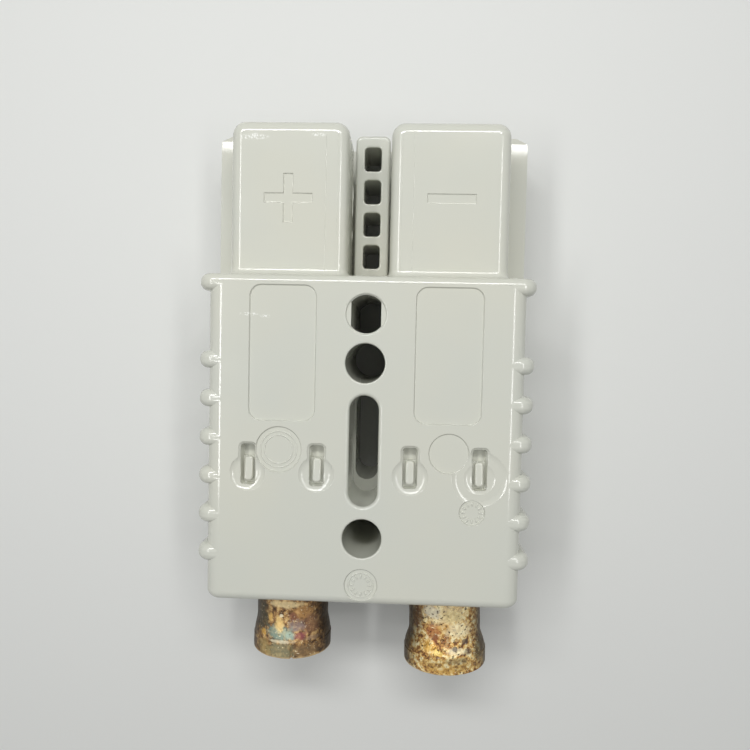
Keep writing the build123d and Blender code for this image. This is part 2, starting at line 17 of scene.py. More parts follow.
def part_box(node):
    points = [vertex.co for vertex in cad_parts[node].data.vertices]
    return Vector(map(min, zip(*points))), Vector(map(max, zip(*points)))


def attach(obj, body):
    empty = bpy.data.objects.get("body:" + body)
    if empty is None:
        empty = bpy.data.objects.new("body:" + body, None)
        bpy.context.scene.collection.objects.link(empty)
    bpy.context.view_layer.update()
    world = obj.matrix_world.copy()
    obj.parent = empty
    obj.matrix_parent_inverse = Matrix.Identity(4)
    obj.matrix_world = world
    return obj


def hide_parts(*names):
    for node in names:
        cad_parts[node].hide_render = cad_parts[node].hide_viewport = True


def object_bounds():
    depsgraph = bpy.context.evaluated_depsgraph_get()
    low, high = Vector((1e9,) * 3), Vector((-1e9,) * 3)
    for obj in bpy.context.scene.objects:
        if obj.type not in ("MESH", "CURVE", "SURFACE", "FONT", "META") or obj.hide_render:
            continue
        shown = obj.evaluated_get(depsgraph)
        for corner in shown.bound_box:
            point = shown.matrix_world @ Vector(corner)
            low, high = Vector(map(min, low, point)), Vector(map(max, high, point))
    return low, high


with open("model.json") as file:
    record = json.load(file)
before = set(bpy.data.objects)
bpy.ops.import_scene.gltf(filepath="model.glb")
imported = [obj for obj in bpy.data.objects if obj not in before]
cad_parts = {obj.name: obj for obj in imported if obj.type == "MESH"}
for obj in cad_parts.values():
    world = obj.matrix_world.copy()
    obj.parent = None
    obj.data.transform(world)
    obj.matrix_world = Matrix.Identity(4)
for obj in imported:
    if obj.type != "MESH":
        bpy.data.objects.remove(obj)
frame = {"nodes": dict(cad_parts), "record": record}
cad_low, cad_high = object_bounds()

MM = 0.001  # sizes below are written in millimetres, and Blender works in metres
print("nodes:", sorted(frame["nodes"]))
print("box in mm:", [round(side / MM, 2) for side in cad_high - cad_low])

# %% [markdown]
# ## The camera
#
# The view is a close one from above, a little in front of the middle. Looking straight down is easy to
# set by eye, but the small turns decide which side walls show. They were found by fitting a camera to the
# straight edges of the part, and are written here as a place and three turns.

# %% Camera
CAMERA_PLACE = Vector((5.96, 17.79, 134.70)) * MM
CAMERA_TURN = (-2.648, 2.312, 1.236)  # degrees about X, Y and Z, from looking straight down
CAMERA_ANGLE = 58.33  # degrees across the square picture
CAMERA_NEAR = 10 * MM  # nothing closer is drawn

camera_data = bpy.data.cameras.new("camera")
camera_data.angle = math.radians(CAMERA_ANGLE)
camera_data.clip_start = CAMERA_NEAR
camera = bpy.data.objects.new("camera", camera_data)
camera.location = CAMERA_PLACE
camera.rotation_euler = Euler([math.radians(turn) for turn in CAMERA_TURN])
bpy.context.scene.collection.objects.link(camera)
bpy.context.scene.camera = camera
print("camera lens in mm:", round(camera_data.lens, 2))

# %% [markdown]
# ## Helpers for pieces
#
# Every mesh here starts in a bmesh, in millimetres for the new shapes. A finished piece is always the
# same few steps: a mesh from its bmesh, an object at the origin, a body to ride on, and the name of its
# finish.

# %% Make an object, and make it a piece
def object_from(bm, name):
    """Turn a finished bmesh into an object that sits at the origin."""
    mesh = bpy.data.meshes.new(name)
    bm.to_mesh(mesh)
    bm.free()
    made = bpy.data.objects.new(name, mesh)
    bpy.context.scene.collection.objects.link(made)
    return made


def make_piece(made):
    """Let an object ride on the connector's one body."""
    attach(made, "root")
    return made


def to_metres(bm):
    """Bring a bmesh that was drawn in millimetres to Blender's metres."""
    bmesh.ops.scale(bm, verts=bm.verts, vec=(MM, MM, MM))


# %% [markdown]
# ## The housing, with its polarity marks
#
# The housing is one moulding. On each tongue a shallow mark is sunk into the top, a plus on the left and
# a minus on the right, and a hairline runs along the tongue where two parts of the mould meet. The packed
# mesh has neither, and its triangles are loose, so a copy is merged first and the marks are then cut from
# it with a Boolean. Painting them would be quicker, but a sunk mark catches light on one edge and shade
# on the other, and that is what makes it readable on plain grey.

# %% Merge a copy of the housing
WELD = 0.001 * MM
housing_mesh = bmesh.new()
housing_mesh.from_mesh(frame["nodes"]["housing"].data)
bmesh.ops.remove_doubles(housing_mesh, verts=housing_mesh.verts, dist=WELD)
housing = make_piece(object_from(housing_mesh, "housing_moulding"))
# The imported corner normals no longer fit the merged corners
housing.data.attributes.remove(housing.data.attributes["custom_normal"])
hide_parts("housing")
print("housing faces:", len(housing.data.polygons))

# %% Cutters for the polarity marks
TONGUE_TOP = 22.5
MARK_DEPTH = 0.2
MARK_DRAFT = 0.16
MARK_LENGTH = 8.1
MARK_STROKE = 1.65
PLUS_PLACE = (-13.55, 41.65)
MINUS_PLACE = (13.6, 41.8)
ACROSS = 0
ALONG = 1
FACES_ALONG = 0.9       # a face looks along an axis when its normal has this much of it
SQUARE_EDGE = 1         # radians of fold: the square edges of a block have more


def mark_cutter(name, place, arms):
    """A block as wide as the stroke, drawn out into two or four arms, with a drafted lower edge."""
    bm = bmesh.new()
    bmesh.ops.create_cube(bm, size=MARK_STROKE)
    sides = [face for face in bm.faces if any(abs(face.normal[axis]) > FACES_ALONG for axis in arms)]
    reach = (MARK_LENGTH - MARK_STROKE) / 2
    for face in bmesh.ops.extrude_discrete_faces(bm, faces=sides)["faces"]:
        bmesh.ops.translate(bm, verts=face.verts, vec=face.normal * reach)
    lowest = min(vert.co.z for vert in bm.verts)
    bottom = [edge for edge in bm.edges if all(vert.co.z == lowest for vert in edge.verts)]
    outline = [edge for edge in bottom if edge.calc_face_angle() > SQUARE_EDGE]
    bmesh.ops.translate(bm, verts=bm.verts, vec=(*place, TONGUE_TOP - MARK_DEPTH - lowest))
    bmesh.ops.bevel(
        bm, geom=outline, offset=MARK_DRAFT, affect="EDGES", segments=2, profile=0.5, material=-1
    )
    to_metres(bm)
    return object_from(bm, name)


cutters = [
    mark_cutter("plus_cutter", PLUS_PLACE, (ACROSS, ALONG)),
    mark_cutter("minus_cutter", MINUS_PLACE, (ACROSS,)),
]
print("cutters:", [cutter.name for cutter in cutters])

# %% Cutters for the hairlines where mould parts meet
HAIRLINE_X = 7.3
HAIRLINE_Y = (29.6, 52.3)
HAIRLINE_DEPTH = 0.035


def hairline_cutter(name, x):
    """A square bar on its edge, which leaves a fine groove."""
    bm = bmesh.new()
    bmesh.ops.create_cube(bm, size=HAIRLINE_DEPTH * math.sqrt(2))
    on_edge = Matrix.Rotation(math.radians(45), 3, "Y")
    bmesh.ops.rotate(bm, verts=bm.verts, cent=(0, 0, 0), matrix=on_edge)
    for vert in bm.verts:
        vert.co.y = HAIRLINE_Y[1] if vert.co.y > 0 else HAIRLINE_Y[0]
    bmesh.ops.translate(bm, verts=bm.verts, vec=(x, 0, TONGUE_TOP))
    to_metres(bm)
    return object_from(bm, name)


cutters.append(hairline_cutter("left_hairline", -HAIRLINE_X))
cutters.append(hairline_cutter("right_hairline", HAIRLINE_X))
print("hairlines from y", HAIRLINE_Y[0], "to", HAIRLINE_Y[1])

# %% [markdown]
# ## Rolled rims round the staking pockets
#
# Under each pocket a stake was melted over to hold a spring, and the hot skin sank into a dish. Round one
# pocket a wider patch sank as well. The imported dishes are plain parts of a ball, so their rims are too
# gentle to catch a lamp. On the real part the rim is rolled: steep at its edge and soon nearly level. An
# arc that turns from the one slope to the other is spun about an upright axis, and the Boolean cuts with
# it. A bevel of the rim edge would only round it off.

# %% Cutters for the dishes
BODY_TOP = round(cad_high[2] / MM, 3)
STAKE_WIDTH = 1.2       # a pocket is centred half of this inside each side of a spring
DISH_BACK = 4.0
# Of each rim the radius, the width of its roll and its steepest slope in degrees. The dish's rim is a hair
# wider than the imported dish, so that nothing of the old rim is left.
DISH_RIM = (2.99, 1.07, 36)
SINK_RIM = (4.54, 0.9, 25)
FLOOR_SLOPE = math.radians(4)
ROLL_STEPS = 10
DISH_STEPS = 96
CUTTER_TOP = 0.5        # the cutter reaches this far above the face


def rolled_dish(name, x, rim):
    """A shallow bowl whose rim rolls from a steep slope to a nearly level floor."""
    radius, roll, slope = rim
    steep = math.radians(slope)
    bend = roll / (math.sin(steep) - math.sin(FLOOR_SLOPE))
    bm = bmesh.new()
    edge = bm.verts.new((radius, 0, 0))
    roll_centre = (radius - bend * math.sin(steep), 0, bend * math.cos(steep))
    last = bmesh.ops.spin(
        bm, geom=[edge], cent=roll_centre, axis=(0, 1, 0), angle=steep - FLOOR_SLOPE, steps=ROLL_STEPS
    )["geom_last"][0]
    above = bm.verts.new((radius + CUTTER_TOP / math.tan(steep), 0, CUTTER_TOP))
    bm.edges.new((last, bm.verts.new((0, 0, last.co.z))))
    bm.edges.new((edge, above))
    bm.edges.new((above, bm.verts.new((0, 0, CUTTER_TOP))))
    bmesh.ops.spin(
        bm, geom=bm.verts[:] + bm.edges[:], cent=(0, 0, 0), axis=(0, 0, 1), angle=math.tau,
        steps=DISH_STEPS, use_merge=True,
    )
    bmesh.ops.remove_doubles(bm, verts=bm.verts, dist=WELD / MM)
    bmesh.ops.recalc_face_normals(bm, faces=bm.faces)
    bmesh.ops.translate(bm, verts=bm.verts, vec=(x, -DISH_BACK, BODY_TOP))
    to_metres(bm)
    return object_from(bm, name)


pocket_places = []
for pole in ("positive", "negative"):
    spring_low, spring_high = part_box("spring_" + pole)
    inset = STAKE_WIDTH / 2
    pocket_places += [spring_low[0] / MM + inset, spring_high[0] / MM - inset]
cutters.append(rolled_dish("sink_cutter", pocket_places[-1], SINK_RIM))
for number, x in enumerate(pocket_places):
    cutters.append(rolled_dish("dish_cutter_%d" % number, x, DISH_RIM))
print("pockets at x:", [round(x, 2) for x in pocket_places])

# %% Cut the marks and the dishes
for cutter in cutters:
    cut = housing.modifiers.new(cutter.name, "BOOLEAN")
    cut.operation = "DIFFERENCE"
    cut.solver = "EXACT"
    cut.object = cutter
depsgraph = bpy.context.evaluated_depsgraph_get()
engraved = bpy.data.meshes.new_from_object(housing.evaluated_get(depsgraph))
housing.modifiers.clear()
housing.data = engraved
for cutter in cutters:
    bpy.data.objects.remove(cutter)
print("faces after cutting:", len(engraved.polygons))

# %% [markdown]
# ## Shading that follows the true surface
#
# The moulding is large flat faces with small round edges between them. Plain smooth shading would bend
# the light over the flats, and the thin white lines along the roundings would waver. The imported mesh
# knows the true normal of the CAD surface at each corner of each face. The cut copy lost them, so they
# are looked up again by place: a corner takes the normal of a packed face that lies much as its own face
# does. Where there are several, the largest one sets it, which also softens the slightest folds, as the
# mould does. At a new corner the faces that lie alike share their mean.

# %% Shade the housing
SAME_WAY = 0.98            # faces whose normals agree this well, as a cosine, shade as one surface
OWN_WEIGHT = WELD * WELD   # area that a face's own normal counts for at least, so that no mean is empty


def true_normals(source, target):
    """Give the faces of a cut copy the corner normals of the mesh that it was made from."""
    known = {}
    for face in source.polygons:
        for corner in face.loop_indices:
            place = source.vertices[source.loops[corner].vertex_index].co / WELD
            entry = (face.area, face.normal.copy(), source.corner_normals[corner].vector.copy())
            known.setdefault(tuple(round(side) for side in place), []).append(entry)
    around = {}
    for face in target.polygons:
        for vertex in face.vertices:
            around.setdefault(vertex, []).append((face.area, face.normal.copy()))
    normals = []
    for face in target.polygons:
        for corner in face.loop_indices:
            vertex = target.loops[corner].vertex_index
            place = target.vertices[vertex].co / WELD
            entries = known.get(tuple(round(side) for side in place), [])
            agreed = [(area, true) for area, flat, true in entries if flat.dot(face.normal) > SAME_WAY]
            alike = [flat * area for area, flat in around[vertex] if flat.dot(face.normal) > SAME_WAY]
            mean = sum(alike, face.normal * OWN_WEIGHT).normalized()
            normals.append(max(agreed, key=lambda entry: entry[0])[1] if agreed else mean)
    target.shade_smooth()
    target.normals_split_custom_set(normals)
    return len(known)


print("places with a true normal:", true_normals(frame["nodes"]["housing"].data, housing.data))

# %% [markdown]
# ## Flash along a tongue
#
# Where the mould halves don't quite close, a little plastic creeps out and sets as a thin wavy fin. It
# runs along the inner side of the left tongue, at its lower edge. A strip of grid, pulled in and out by
# noise, gives the wave, and Solidify gives it a thickness.

# %% Flash fin
FLASH_Y = (31.0, 52.0)
FLASH_ROOT = -3.75
FLASH_REACH = 0.5
FLASH_LEVEL = 13.05
FLASH_THICKNESS = 0.1
FLASH_WAVE = 2.4
FLASH_STEPS = 120
FLASH_SEED = 4.7

# The grid is a square of side 1 about the origin
flash_mesh = bmesh.new()
bmesh.ops.create_grid(flash_mesh, x_segments=2, y_segments=FLASH_STEPS, size=0.5)
for vert in flash_mesh.verts:
    outward = vert.co.x + 0.5
    y = FLASH_Y[0] + (vert.co.y + 0.5) * (FLASH_Y[1] - FLASH_Y[0])
    swell = 0.5 + 0.5 * noise.noise(Vector((0.0, y / FLASH_WAVE, FLASH_SEED)))
    vert.co = (FLASH_ROOT + outward * FLASH_REACH * swell, y, FLASH_LEVEL)
bmesh.ops.solidify(flash_mesh, geom=flash_mesh.faces[:], thickness=FLASH_THICKNESS)
bmesh.ops.recalc_face_normals(flash_mesh, faces=flash_mesh.faces)
to_metres(flash_mesh)
flash = make_piece(object_from(flash_mesh, "mould_flash"))
print("flash faces:", len(flash.data.polygons))

# %% [markdown]
# ## Rings and tick dials on the discs
#
# The round recesses hold the ends of mould inserts, which leave fine raised lines. Two plain rings stand
# in the large disc, a ring round a dial of ticks in the rear one, and a dial alone in the small one. Each
# ring is a small round section spun about the middle of its disc, as the insert was turned. A tick is one
# bar, softened at its edges and set round the disc again and again.

# %% Rings and ticks
DISC_FLOOR = 25.2       # the discs are recesses in the face at BODY_TOP
LARGE_DISC = (-14.0, 0.0)
REAR_DISC = (0.0, -22.3)
SMALL_DISC = (18.0, -9.6)
RINGS = ((LARGE_DISC, 2.35), (LARGE_DISC, 3.0), (REAR_DISC, 2.05))  # the disc, and the ring's radius
DIALS = ((REAR_DISC, 1.5), (SMALL_DISC, 1.45))  # the disc, and the radius that its ticks stand on
LINE_RADIUS = 0.15      # of a ring's round section
LINE_SUNK = 0.05        # depth of the section's middle under the floor
LINE_SIDES = 10
RING_STEPS = 96
TICK_COUNT = 12
TICK_LENGTH = 0.65
TICK_WIDTH = 0.26
TICK_HEIGHT = 0.3       # half of it stands above the floor
TICK_SOFT = TICK_WIDTH / 5


def raised_ring(bm, centre, radius):
    """A round line of plastic, spun about the middle of a disc."""
    place = Matrix.Translation((centre[0] + radius, centre[1], DISC_FLOOR - LINE_SUNK))
    upright = Matrix.Rotation(math.radians(90), 4, "X")
    section = bmesh.ops.create_circle(
        bm, segments=LINE_SIDES, radius=LINE_RADIUS, matrix=place @ upright
    )["verts"]
    edges = list({edge for vert in section for edge in vert.link_edges})
    bmesh.ops.spin(
        bm, geom=section + edges, cent=(*centre, DISC_FLOOR), axis=(0, 0, 1), angle=math.tau,
        steps=RING_STEPS, use_merge=True,
    )


def raised_tick(bm, centre, radius, turn):
    """One bar of a dial, which points at the middle of its disc."""
    middle = Matrix.Translation((*centre, DISC_FLOOR)) @ Matrix.Rotation(turn, 4, "Z")
    outward = Matrix.Translation((0, radius, 0))
    size = Matrix.Diagonal((TICK_WIDTH, TICK_LENGTH, TICK_HEIGHT, 1))
    bar = bmesh.ops.create_cube(bm, size=1, matrix=middle @ outward @ size)["verts"]
    edges = list({edge for vert in bar for edge in vert.link_edges})
    bmesh.ops.bevel(
        bm, geom=edges, offset=TICK_SOFT, affect="EDGES", segments=2, profile=0.5, material=-1
    )


lines_mesh = bmesh.new()
for centre, radius in RINGS:
    raised_ring(lines_mesh, centre, radius)
for centre, radius in DIALS:
    for tick in range(TICK_COUNT):
        raised_tick(lines_mesh, centre, radius, math.tau * tick / TICK_COUNT)
bmesh.ops.remove_doubles(lines_mesh, verts=lines_mesh.verts, dist=WELD / MM)
bmesh.ops.recalc_face_normals(lines_mesh, faces=lines_mesh.faces)
for face in lines_mesh.faces:
    face.smooth = True
to_metres(lines_mesh)
lines = make_piece(object_from(lines_mesh, "mould_insert_lines"))
print("lines on the discs, faces:", len(lines.data.polygons))

# %% [markdown]
# ## Helpers for materials
#
# A material is nodes with settings and links, so one function adds a node. Colours are written as sRGB
# hex, as a paint chart gives them, and one function makes them linear. Patterns are sized in millimetres.

# %% Nodes, colours, scales and patches
PATCH_EDGE = (1.8, 1.1)  # distance plus raggedness at which a patch ends, and at which it is whole


def node(tree, kind, inputs, **settings):
    """Add one node. Each input is a value or another node's output socket."""
    made = tree.nodes.new(kind)
    for name, value in settings.items():
        setattr(made, name, value)
    for socket, value in inputs.items():
        if isinstance(value, bpy.types.NodeSocket):
            tree.links.new(value, made.inputs[socket])
        else:
            made.inputs[socket].default_value = value
    return made


def colour(code):
    """A hex sRGB colour as linear RGBA."""
    channels = [int(code[place:place + 2], 16) / 255 for place in (1, 3, 5)]
    return [c / 12.92 if c <= 0.04045 else ((c + 0.055) / 1.055) ** 2.4 for c in channels] + [1.0]


def per_metre(size):
    """Noise scale whose features are about this many millimetres across."""
    return 1 / (size * MM)


def new_material(name):
    """A material with its tree, its shader and the Object coordinates that every pattern here uses."""
    made = bpy.data.materials.new(name)
    made.use_nodes = True
    tree = made.node_tree
    place = node(tree, "ShaderNodeTexCoord", {}).outputs["Object"]
    return made, tree, tree.nodes["Principled BSDF"], place


def grain(tree, place, size, low, high, detail=3.0):
    """A noise of this size in millimetres, spread from 0 at low to 1 at high."""
    pattern = {"Vector": place, "Scale": per_metre(size), "Detail": detail}
    speckle = node(tree, "ShaderNodeTexNoise", pattern)
    spread = {"Value": speckle.outputs["Fac"], "From Min": low, "From Max": high}
    return node(tree, "ShaderNodeMapRange", spread).outputs["Result"]


def patch(tree, place, centre, reach, ragged, cover=1.0):
    """A soft mask in millimetres: as much as cover in its middle, and 0 beyond its ragged edge."""
    fitted = {"Vector": place, "Location": Vector(centre) * MM, "Scale": Vector(reach) * MM}
    shares = node(tree, "ShaderNodeMapping", fitted, vector_type="TEXTURE")
    distance = node(tree, "ShaderNodeVectorMath", {0: shares.outputs["Vector"]}, operation="LENGTH")
    uneven = node(tree, "ShaderNodeMath", {0: distance.outputs["Value"], 1: ragged}, operation="ADD")
    end, start = PATCH_EDGE
    edge = {"Value": uneven.outputs[0], "From Min": end, "From Max": start, "To Max": cover}
    return node(tree, "ShaderNodeMapRange", edge, interpolation_type="SMOOTHSTEP").outputs["Result"]


def coats(tree, ground, layers):
    """A ground colour with hex colours laid over it one after another, each where its own mask is 1."""
    tint = colour(ground)
    for mask, code in layers:
        laid = node(tree, "ShaderNodeMix", {0: mask, 6: tint, 7: colour(code)}, data_type="RGBA")
        tint = laid.outputs[2]
    return tint


# %% [markdown]
# ## Moulded polycarbonate
#
# The housing is grey polycarbonate from a polished mould: an even warm grey with a clear gloss that shows
# as thin white lines along every rounding. Up close the skin has a faint orange peel, and a few spots are
# lighter. A single grey would look like clay, so noise shifts the tone and the gloss by small amounts, and
# a fine bump breaks the reflections. A Bevel node rounds the edges that the mould leaves too sharp to
# model.

# %% Material of the housing
PLASTIC_GREY = "#C8CAC0"
PLASTIC_WARM = "#CCCCBF"
LIGHTER_SPOT_GREY = "#EEEFE9"
POLYCARBONATE_IOR = 1.64  # 1.585 is typical, raised until the edge lines were as bright as the object's
PLASTIC_ROUGHNESS = (0.11, 0.15)
TONE_PATCH = 22.0
GLOSS_PATCH = 5.0
PATCH_SPREAD = (0.3, 0.7)      # noise levels between which the tone or the gloss changes over
PEEL_SIZE = 0.8
PEEL_HEIGHT = 0.02
PEEL_STRENGTH = 0.015
SPOT_EDGE = 0.7
SPOT_EDGE_SPREAD = (0.2, 0.8)
SPOT_BREAKUP = 0.35
SPOT_BREAKUP_SPREAD = (0.47, 0.6)
EDGE_ROUND = 0.07
EDGE_SAMPLES = 6
LIGHTER_SPOTS = (  # centre and reach of each lighter spot
    ((-19.2, 22.2, BODY_TOP), (1.6, 0.25, 2.0)),
    ((-16.6, 21.9, BODY_TOP), (0.9, 0.3, 2.0)),
    ((-19.5, 51.6, TONGUE_TOP), (2.4, 0.5, 1.0)),
    ((-8.6, 52.0, TONGUE_TOP), (1.2, 0.35, 1.0)),
)


def moulded_polycarbonate():
    """Glossy grey plastic, straight from the mould."""
    made, tree, shader, place = new_material("moulded_polycarbonate")
    ragged = grain(tree, place, SPOT_EDGE, *SPOT_EDGE_SPREAD)
    spot_breakup = grain(tree, place, SPOT_BREAKUP, *SPOT_BREAKUP_SPREAD, detail=5.0)
    layers = [(grain(tree, place, TONE_PATCH, *PATCH_SPREAD), PLASTIC_WARM)]
    # lighter spots, broken up by fine noise
    for centre, reach in LIGHTER_SPOTS:
        lighter_spot = patch(tree, place, centre, reach, ragged)
        mask = node(tree, "ShaderNodeMath", {0: lighter_spot, 1: spot_breakup}, operation="MULTIPLY")
        layers.append((mask.outputs[0], LIGHTER_SPOT_GREY))
    tree.links.new(coats(tree, PLASTIC_GREY, layers), shader.inputs["Base Color"])
    gloss = grain(tree, place, GLOSS_PATCH, *PATCH_SPREAD)
    smooth, dull = PLASTIC_ROUGHNESS
    rough = node(tree, "ShaderNodeMapRange", {"Value": gloss, "To Min": smooth, "To Max": dull})
    tree.links.new(rough.outputs["Result"], shader.inputs["Roughness"])
    shader.inputs["IOR"].default_value = POLYCARBONATE_IOR
    peel = grain(tree, place, PEEL_SIZE, 0.0, 1.0, detail=2.0)
    soft_edge = node(tree, "ShaderNodeBevel", {"Radius": EDGE_ROUND * MM}, samples=EDGE_SAMPLES)
    skin = {"Height": peel, "Strength": PEEL_STRENGTH, "Distance": PEEL_HEIGHT * MM}
    bump = node(tree, "ShaderNodeBump", skin | {"Normal": soft_edge.outputs["Normal"]})
    tree.links.new(bump.outputs["Normal"], shader.inputs["Normal"])
    return made


plastic = moulded_polycarbonate()
for moulding in (housing, flash, lines):
    moulding.data.materials.clear()
    moulding.data.materials.append(plastic)
print("housing finish:", plastic.name, "with", len(plastic.node_tree.nodes), "nodes")

# %% [markdown]
# ## The crimp contacts
#
# Each contact is one piece of copper: a tube with a bell mouth for the cable, squeezed flat into a blade.
# The mouths are battered and pitted. A lathe turns the tube on the real one, so a profile is spun here
# too. The open end of the spun tube is then extruded in steps, and each new ring is given a flatter
# section, as a press would flatten it.

# %% Profile of the barrel
LIP_LENGTH = 2.75
LIP_STEP = 0.12         # the lip stands this much proud of the flare behind it
LIP_WALL = 0.9
LIP_ROUND = 0.22
LIP_ROUND_STEPS = 4
NECK = 6.2              # mouth to where the flare meets the plain tube
EXPOSED = 14.5          # the housing covers the tube from here on
BARREL_RADIUS = 6.5
BARREL_LENGTH = 29.0
BORE_DEPTH = 26.0
BORE_TIP = 28.0         # drilled point at the bottom of the bore
FINE_STEP = 0.25        # spacing of the rings that the wear is worked into
COARSE_STEP = 2.5

mounts = {mount["name"]: mount for mount in frame["record"]["mounts"]}
contact_low, contact_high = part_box("contact_positive")
CONTACT_LENGTH = (contact_high[1] - contact_low[1]) / MM
BORE_RADIUS = mounts["crimp_barrel_positive"]["dims"]["r_mm"]
print("contact length in mm:", round(CONTACT_LENGTH, 2), "and bore radius:", BORE_RADIUS)


def ease(share):
    """A share from 0 to 1, with a soft start and end."""
    return share * share * (3 - 2 * share)


def mix(start, end, share):
    """The value at a share of the way from start to end."""
    return start + (end - start) * share


def barrel_profile(mouth):
    """Half a lengthwise section of the barrel, from its solid end round the lip to the bore's bottom."""
    bm = bmesh.new()
    corners = [
        (BARREL_RADIUS, BARREL_LENGTH),
        (BARREL_RADIUS, EXPOSED),
        (BARREL_RADIUS, NECK),
        (mouth - LIP_STEP, LIP_LENGTH),
        (mouth, LIP_LENGTH - LIP_STEP),
        (mouth, 0),
        (mouth - LIP_WALL, 0),
        (mouth - LIP_WALL, LIP_LENGTH),
        (BORE_RADIUS, NECK),
        (BORE_RADIUS, BORE_DEPTH),
        (0, BORE_TIP),
    ]
    points = [bm.verts.new((radius, along, 0)) for radius, along in corners]
    for pair in zip(points, points[1:]):
        bm.edges.new(pair)
    rim = [vert for vert in points if vert.co.y == 0]
    bmesh.ops.bevel(
        bm, geom=rim, offset=LIP_ROUND, affect="VERTICES", segments=LIP_ROUND_STEPS, profile=0.5, material=-1
    )
    for edge in [edge for edge in bm.edges if edge.calc_length() > 2 * FINE_STEP]:
        exposed = max(vert.co.y for vert in edge.verts) <= EXPOSED
        step = FINE_STEP if exposed else COARSE_STEP
        bmesh.ops.subdivide_edges(bm, edges=[edge], cuts=int(edge.calc_length() / step))
    for vert in bm.verts:
        if LIP_LENGTH < vert.co.y < NECK:
            outside = vert.co.x > BARREL_RADIUS - LIP_STEP
            wide = mouth - (LIP_STEP if outside else LIP_WALL)
            narrow = BARREL_RADIUS if outside else BORE_RADIUS
            vert.co.x = mix(wide, narrow, ease((vert.co.y - LIP_LENGTH) / (NECK - LIP_LENGTH)))
    return bm


# %% Press the tube flat into a blade
THROAT_LENGTH = 9.0
THROAT_STEPS = 10
BLADE_HALF = 6.75
BLADE_THICKNESS = 3.6
ROUND = 2               # squareness of a circle or an ellipse
BLADE_SQUARENESS = 9.0
TIP_ROUND = 1.5
TIP_STEPS = 6
BLADE_LEAD = 1.2        # the tip's lower side slopes up this much


def pressed_sections():
    """Each ring from the tube to the tip: place along, half width, lowest and highest level, squareness."""
    for step in range(1, THROAT_STEPS + 1):
        share = ease(step / THROAT_STEPS)
        yield (
            BARREL_LENGTH + THROAT_LENGTH * step / THROAT_STEPS,
            mix(BARREL_RADIUS, BLADE_HALF, share),
            mix(-BARREL_RADIUS, 0, share),
            mix(BARREL_RADIUS, BLADE_THICKNESS, share),
            mix(ROUND, BLADE_SQUARENESS, share),
        )
    for step in range(TIP_STEPS + 1):
        turn = math.radians(90 * step / TIP_STEPS)
        along = CONTACT_LENGTH - TIP_ROUND * (1 - math.sin(turn))
        half_width = BLADE_HALF - TIP_ROUND * (1 - math.cos(turn))
        rise = max(0, along - CONTACT_LENGTH + BLADE_LEAD)
        yield along, half_width, rise, BLADE_THICKNESS, BLADE_SQUARENESS


def press_flat(bm):
    """Extrude the open end of a spun tube ring by ring into the throat and the blade, and close the tip."""
    ring = [edge for edge in bm.edges if edge.is_boundary]
    turns = {vert: math.atan2(vert.co.z, vert.co.x) for edge in ring for vert in edge.verts}
    for along, half_width, lowest, highest, squareness in pressed_sections():
        middle, half_height = (highest + lowest) / 2, (highest - lowest) / 2
        made = bmesh.ops.extrude_edge_only(bm, edges=ring)["geom"]
        new_turns = {}
        for vert in [item for item in made if isinstance(item, bmesh.types.BMVert)]:
            behind = next(e.other_vert(vert) for e in vert.link_edges if e.other_vert(vert) in turns)
            turn = turns[behind]
            across, up = math.cos(turn), math.sin(turn)
            across = math.copysign(abs(across) ** (ROUND / squareness), across)
            up = math.copysign(abs(up) ** (ROUND / squareness), up)
            vert.co = (half_width * across, along, middle + half_height * up)
            new_turns[vert] = turn
        turns = new_turns
        ring = [item for item in made if isinstance(item, bmesh.types.BMEdge) and item.is_boundary]
    bmesh.ops.edgeloop_fill(bm, edges=ring)


# %% Batter and pit the exposed end
WEAR_DEPTH = 0.07
WEAR_SIZE = 1.7
PIT_DEPTH = 0.05
PIT_SIZE = 0.55
WEAR_FADE = 4.0         # the wear dies out over this length, towards the housing
CREASE_DEPTH = 0.3
CREASE_WIDTH = 0.2
CREASE_LEAN = 0.1       # sideways drift of a crease for each millimetre along


def batter(bm, seed, crease):
    """Sink the outside of the exposed end by noise, and by one crease across the lip where there is one."""
    bm.normal_update()
    shift = Vector((seed, 0, 0))
    for vert in bm.verts:
        if vert.co.y > EXPOSED or vert.co.xz.length < BORE_RADIUS + LIP_WALL / 2:
            continue
        dent = 0.5 + 0.5 * noise.noise(vert.co / WEAR_SIZE + shift)
        pit = max(0, noise.noise(vert.co / PIT_SIZE + shift))
        sunk = (WEAR_DEPTH * dent + PIT_DEPTH * pit) * min(1, (EXPOSED - vert.co.y) / WEAR_FADE)
        if crease is not None and vert.co.z > 0 and vert.co.y < LIP_LENGTH + FINE_STEP:
            aside = vert.co.x - crease + CREASE_LEAN * vert.co.y
            sunk += CREASE_DEPTH * math.exp(-(aside / CREASE_WIDTH) ** 2)
        vert.co -= vert.normal * sunk


# %% Make both contacts
AROUND = 240            # steps round a barrel
SHARP_FOLD = math.radians(28)
POSITIVE_SEED = 3.1
NEGATIVE_SEED = 8.4
POSITIVE_CREASE = 0.9   # where the crease lies across the lip, from the barrel's axis


def shade_by_fold(mesh):
    """Smooth every face, and keep the edges that fold sharply."""
    bm = bmesh.new()
    bm.from_mesh(mesh)
    for face in bm.faces:
        face.smooth = True
    for edge in bm.edges:
        edge.smooth = len(edge.link_faces) == 2 and edge.calc_face_angle() < SHARP_FOLD
    bm.to_mesh(mesh)
    bm.free()


